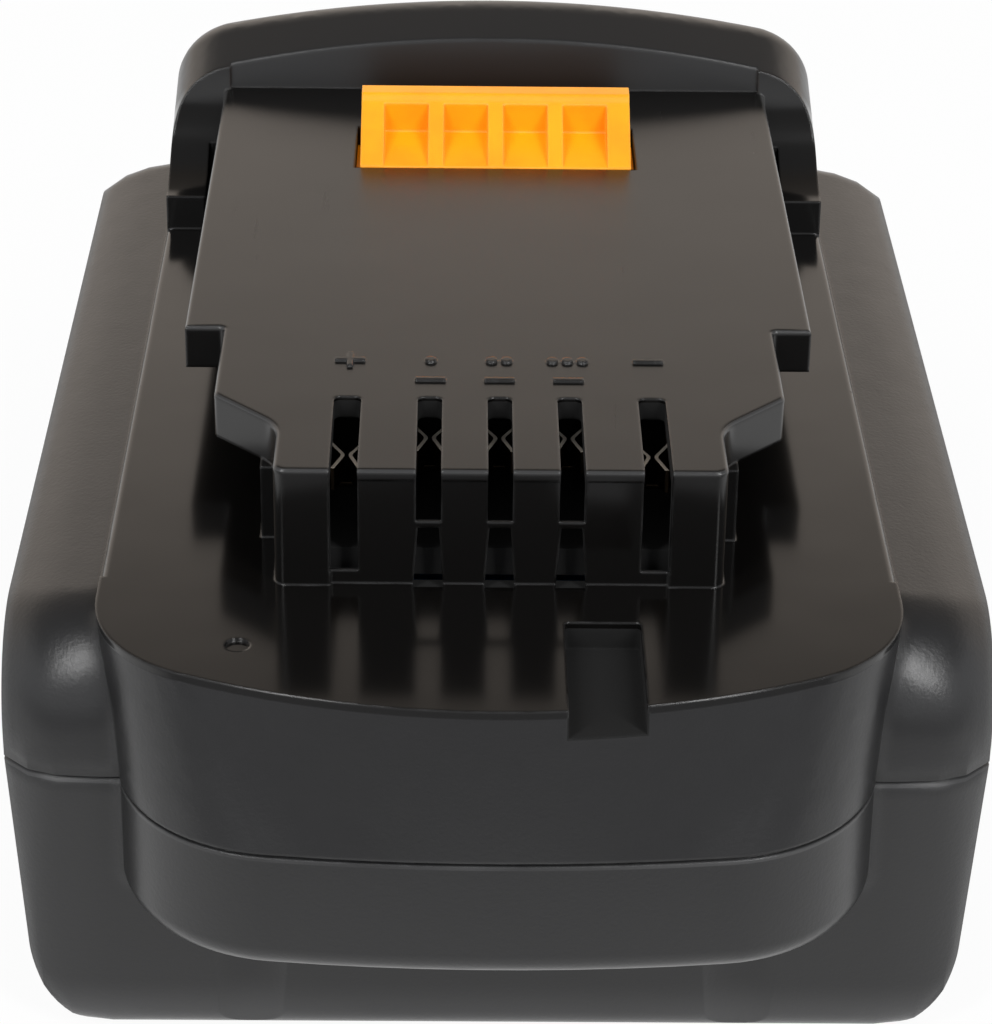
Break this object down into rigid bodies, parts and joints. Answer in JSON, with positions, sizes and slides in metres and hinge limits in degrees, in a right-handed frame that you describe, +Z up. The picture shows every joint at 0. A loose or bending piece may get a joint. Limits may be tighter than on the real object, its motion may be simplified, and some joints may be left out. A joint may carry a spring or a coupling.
{
  "type": "power tool battery pack",
  "caption": "Slide-on battery pack with a rail plate, slotted terminal tower, sprung release latch, rear hood, and cells, board and contacts inside.",
  "frame": {"origin": "on the base plane, under the middle of the pack's length and width", "axes": "+X to the negative terminal's side, -Y to the terminals and the direction the pack slides into the tool, +Z up from the base to the rail plate"},
  "size_m": [0.082, 0.115, 0.0585],
  "materials": {
    "casing_upper": "polished on top, fine matte texture on the shoulders",
    "casing_lower": "fine matte texture",
    "screw_steel": "plain steel",
    "latch_plastic": "bright orange, satin",
    "spring_steel": "drawn wire",
    "contact_metal": "plated, bright",
    "block_plastic": "moulded",
    "board_laminate": "green solder resist",
    "tray_plastic": "moulded",
    "chip_resin": "moulded resin",
    "shunt_metal": "metal strip",
    "capacitor_can": "drawn can",
    "thermistor_resin": "dipped bead",
    "holder_plastic": "moulded, off-white",
    "sheet_paper": "pressed board",
    "cell_wrap": "shrunk film",
    "link_nickel": "nickel strip",
    "lead_red": "insulated wire",
    "lead_black": "insulated wire",
    "lead_white": "insulated wire",
    "foam": "open foam"
  },
  "bodies": {
    "pack": {"upper_casing": "casing_upper", "lower_casing": "casing_lower", "case_screws": "screw_steel", "latch_spring_left": "spring_steel", "latch_spring_right": "spring_steel", "contact_positive": "contact_metal", "contact_negative": "contact_metal", "contact_signal_1": "contact_metal", "contact_signal_2": "contact_metal", "contact_signal_3": "contact_metal", "terminal_block": "block_plastic", "circuit_board": "board_laminate", "board_tray": "tray_plastic", "power_transistors": "chip_resin", "controller_chip": "chip_resin", "shunt_resistor": "shunt_metal", "board_capacitors": "capacitor_can", "thermistor": "thermistor_resin", "cell_holder_left": "holder_plastic", "cell_holder_right": "holder_plastic", "insulating_sheet_left": "sheet_paper", "insulating_sheet_right": "sheet_paper", "cell_low_1": "cell_wrap", "cell_low_2": "cell_wrap", "cell_low_3": "cell_wrap", "cell_low_4": "cell_wrap", "cell_low_5": "cell_wrap", "cell_high_1": "cell_wrap", "cell_high_2": "cell_wrap", "cell_high_3": "cell_wrap", "cell_high_4": "cell_wrap", "cell_high_5": "cell_wrap", "link_pack_negative": "link_nickel", "link_series_1": "link_nickel", "link_series_2": "link_nickel", "link_series_3": "link_nickel", "link_series_4": "link_nickel", "link_pack_positive": "link_nickel", "positive_lead": "lead_red", "negative_lead": "lead_black", "sense_lead_1": "lead_white", "sense_lead_2": "lead_white", "sense_lead_3": "lead_white", "sense_lead_4": "lead_white", "foam_pad": "foam"},
    "latch": {"release_latch": "latch_plastic"}
  },
  "joints": [
    {"name": "latch_press", "type": "slide", "parent": "pack", "child": "latch", "axis": [0, 0, -1], "range_m": [0, 0.005], "stiffness_N_per_m": 1200, "springref_m": -0.003, "deforming": ["latch_spring_left", "latch_spring_right"]}
  ]
}
